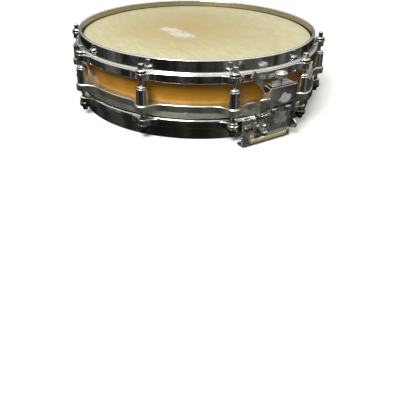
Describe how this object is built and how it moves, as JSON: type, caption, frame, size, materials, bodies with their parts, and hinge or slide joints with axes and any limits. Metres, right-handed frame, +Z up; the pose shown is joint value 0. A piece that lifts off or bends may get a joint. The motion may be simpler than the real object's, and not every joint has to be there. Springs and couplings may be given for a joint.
{
  "type": "snare drum",
  "caption": "Shallow snare drum with a free-floating wooden shell, die-cast hoops, a cast lug frame, tunable heads, coiled snares and a flip-down throw-off.",
  "frame": {"origin": "on the drum's axis at the lower edge of the bottom rim, where the drum stands", "axes": "+Z up along the drum's axis towards the batter head, +X towards the throw-off, +Y to the right of the throw-off as seen from outside"},
  "size_m": [0.4362, 0.4104, 0.1115],
  "materials": {
    "shell_maple": "clear gloss lacquer over honey-coloured maple",
    "batter_film": "coated polyester film, worn and yellowed in the middle",
    "resonant_film": "thin clear polyester film",
    "flesh_alloy": "plain aluminium channel",
    "hoop_chrome": "die-cast, chrome plated, lightly pitted",
    "frame_alloy": "cast aluminium, satin",
    "lug_chrome": "chrome plated brass tube",
    "washer_steel": "blackened steel",
    "wire_steel": "plated steel coil",
    "plate_brass": "soldered end plate",
    "strap_plastic": "clear plastic strap",
    "bridge_chrome": "bent steel plate, chrome plated, worn",
    "glide_nylon": "cream nylon strip",
    "screw_steel": "plated steel screw",
    "strainer_chrome": "chrome plated, worn",
    "block_alloy": "cast zinc block, dull",
    "lever_chrome": "folded steel channel, chrome plated",
    "rivet_steel": "plated steel rivet",
    "clamp_screw_chrome": "square-headed drum-key screw",
    "knob_chrome": "knurled, bright plated",
    "rod_chrome": "square-headed drum-key rod"
  },
  "bodies": {
    "drum": {"shell": "shell_maple", "batter_head": "batter_film", "batter_flesh_hoop": "flesh_alloy", "resonant_head": "resonant_film", "resonant_flesh_hoop": "flesh_alloy", "top_hoop": "hoop_chrome", "bottom_hoop": "hoop_chrome", "bearing_frame": "frame_alloy", "tube_lugs": "lug_chrome", "top_washers": "washer_steel", "bottom_washers": "washer_steel", "snare_bridge": "bridge_chrome", "bridge_glide": "glide_nylon", "bridge_screw": "screw_steel", "strainer_base": "strainer_chrome", "strainer_base_screws": "screw_steel", "lever_pivots": "rivet_steel", "butt_base": "strainer_chrome", "butt_base_screws": "screw_steel", "butt_clamp_plate": "strainer_chrome", "butt_clamp_screws": "clamp_screw_chrome"},
    "lever": {"throw_lever": "lever_chrome"},
    "carriage": {"strainer_carriage": "strainer_chrome"},
    "clamp": {"clamp_block": "block_alloy", "clamp_plate": "strainer_chrome", "clamp_screws": "clamp_screw_chrome"},
    "knob": {"tension_screw": "screw_steel", "tension_knob": "knob_chrome"},
    "snares": {"snare_wires": "wire_steel", "snare_end_plates": "plate_brass", "strainer_strap": "strap_plastic", "butt_strap": "strap_plastic"},
    "top_rod_01": {"top_rod_01": "rod_chrome"},
    "top_rod_02": {"top_rod_02": "rod_chrome"},
    "top_rod_03": {"top_rod_03": "rod_chrome"},
    "top_rod_04": {"top_rod_04": "rod_chrome"},
    "top_rod_05": {"top_rod_05": "rod_chrome"},
    "top_rod_06": {"top_rod_06": "rod_chrome"},
    "top_rod_07": {"top_rod_07": "rod_chrome"},
    "top_rod_08": {"top_rod_08": "rod_chrome"},
    "top_rod_09": {"top_rod_09": "rod_chrome"},
    "top_rod_10": {"top_rod_10": "rod_chrome"},
    "bottom_rod_01": {"bottom_rod_01": "rod_chrome"},
    "bottom_rod_02": {"bottom_rod_02": "rod_chrome"},
    "bottom_rod_03": {"bottom_rod_03": "rod_chrome"},
    "bottom_rod_04": {"bottom_rod_04": "rod_chrome"},
    "bottom_rod_05": {"bottom_rod_05": "rod_chrome"},
    "bottom_rod_06": {"bottom_rod_06": "rod_chrome"},
    "bottom_rod_07": {"bottom_rod_07": "rod_chrome"},
    "bottom_rod_08": {"bottom_rod_08": "rod_chrome"},
    "bottom_rod_09": {"bottom_rod_09": "rod_chrome"},
    "bottom_rod_10": {"bottom_rod_10": "rod_chrome"}
  },
  "joints": [
    {"name": "top_rod_01_turn", "type": "hinge", "parent": "drum", "child": "top_rod_01", "pos_m": [0.18546, 0.06026, 0.0956], "axis": [0, 0, 1], "continuous": true},
    {"name": "top_rod_02_turn", "type": "hinge", "parent": "drum", "child": "top_rod_02", "pos_m": [0.11462, 0.15776, 0.0956], "axis": [0, 0, 1], "continuous": true},
    {"name": "top_rod_03_turn", "type": "hinge", "parent": "drum", "child": "top_rod_03", "pos_m": [0, 0.195, 0.0956], "axis": [0, 0, 1], "continuous": true},
    {"name": "top_rod_04_turn", "type": "hinge", "parent": "drum", "child": "top_rod_04", "pos_m": [-0.11462, 0.15776, 0.0956], "axis": [0, 0, 1], "continuous": true},
    {"name": "top_rod_05_turn", "type": "hinge", "parent": "drum", "child": "top_rod_05", "pos_m": [-0.18546, 0.06026, 0.0956], "axis": [0, 0, 1], "continuous": true},
    {"name": "top_rod_06_turn", "type": "hinge", "parent": "drum", "child": "top_rod_06", "pos_m": [-0.18546, -0.06026, 0.0956], "axis": [0, 0, 1], "continuous": true},
    {"name": "top_rod_07_turn", "type": "hinge", "parent": "drum", "child": "top_rod_07", "pos_m": [-0.11462, -0.15776, 0.0956], "axis": [0, 0, 1], "continuous": true},
    {"name": "top_rod_08_turn", "type": "hinge", "parent": "drum", "child": "top_rod_08", "pos_m": [0, -0.195, 0.0956], "axis": [0, 0, 1], "continuous": true},
    {"name": "top_rod_09_turn", "type": "hinge", "parent": "drum", "child": "top_rod_09", "pos_m": [0.11462, -0.15776, 0.0956], "axis": [0, 0, 1], "continuous": true},
    {"name": "top_rod_10_turn", "type": "hinge", "parent": "drum", "child": "top_rod_10", "pos_m": [0.18546, -0.06026, 0.0956], "axis": [0, 0, 1], "continuous": true},
    {"name": "bottom_rod_01_turn", "type": "hinge", "parent": "drum", "child": "bottom_rod_01", "pos_m": [0.18546, 0.06026, 0.0159], "axis": [0, 0, 1], "continuous": true},
    {"name": "bottom_rod_02_turn", "type": "hinge", "parent": "drum", "child": "bottom_rod_02", "pos_m": [0.11462, 0.15776, 0.0159], "axis": [0, 0, 1], "continuous": true},
    {"name": "bottom_rod_03_turn", "type": "hinge", "parent": "drum", "child": "bottom_rod_03", "pos_m": [0, 0.195, 0.0159], "axis": [0, 0, 1], "continuous": true},
    {"name": "bottom_rod_04_turn", "type": "hinge", "parent": "drum", "child": "bottom_rod_04", "pos_m": [-0.11462, 0.15776, 0.0159], "axis": [0, 0, 1], "continuous": true},
    {"name": "bottom_rod_05_turn", "type": "hinge", "parent": "drum", "child": "bottom_rod_05", "pos_m": [-0.18546, 0.06026, 0.0159], "axis": [0, 0, 1], "continuous": true},
    {"name": "bottom_rod_06_turn", "type": "hinge", "parent": "drum", "child": "bottom_rod_06", "pos_m": [-0.18546, -0.06026, 0.0159], "axis": [0, 0, 1], "continuous": true},
    {"name": "bottom_rod_07_turn", "type": "hinge", "parent": "drum", "child": "bottom_rod_07", "pos_m": [-0.11462, -0.15776, 0.0159], "axis": [0, 0, 1], "continuous": true},
    {"name": "bottom_rod_08_turn", "type": "hinge", "parent": "drum", "child": "bottom_rod_08", "pos_m": [0, -0.195, 0.0159], "axis": [0, 0, 1], "continuous": true},
    {"name": "bottom_rod_09_turn", "type": "hinge", "parent": "drum", "child": "bottom_rod_09", "pos_m": [0.11462, -0.15776, 0.0159], "axis": [0, 0, 1], "continuous": true},
    {"name": "bottom_rod_10_turn", "type": "hinge", "parent": "drum", "child": "bottom_rod_10", "pos_m": [0.18546, -0.06026, 0.0159], "axis": [0, 0, 1], "continuous": true},
    {"name": "lever_turn", "type": "hinge", "parent": "drum", "child": "lever", "pos_m": [0.2035, 0, 0.0205], "axis": [0, 1, 0], "range_deg": [0, 90]},
    {"name": "carriage_slide", "type": "slide", "parent": "drum", "child": "carriage", "axis": [0, 0, -1], "range_m": [0, 0.00351]},
    {"name": "snare_drop", "type": "hinge", "parent": "drum", "child": "snares", "pos_m": [-0.20685, 0, 0.00845], "axis": [0, 1, 0], "range_deg": [0, 0.4867]},
    {"name": "knob_turn", "type": "hinge", "parent": "carriage", "child": "knob", "pos_m": [0.205, 0, 0.088], "axis": [0, 0, 1], "range_deg": [-901, 901]},
    {"name": "clamp_slide", "type": "slide", "parent": "carriage", "child": "clamp", "axis": [0, 0, 1], "range_m": [-0.002, 0.002]}
  ],
  "couplings": [
    {"joint": "carriage_slide", "follows": "lever_turn", "m_per_rad": 0.0022282},
    {"joint": "snare_drop", "follows": "lever_turn", "ratio": 0.005386},
    {"joint": "knob_turn", "follows": "clamp_slide", "rad_per_m": -7854}
  ]
}
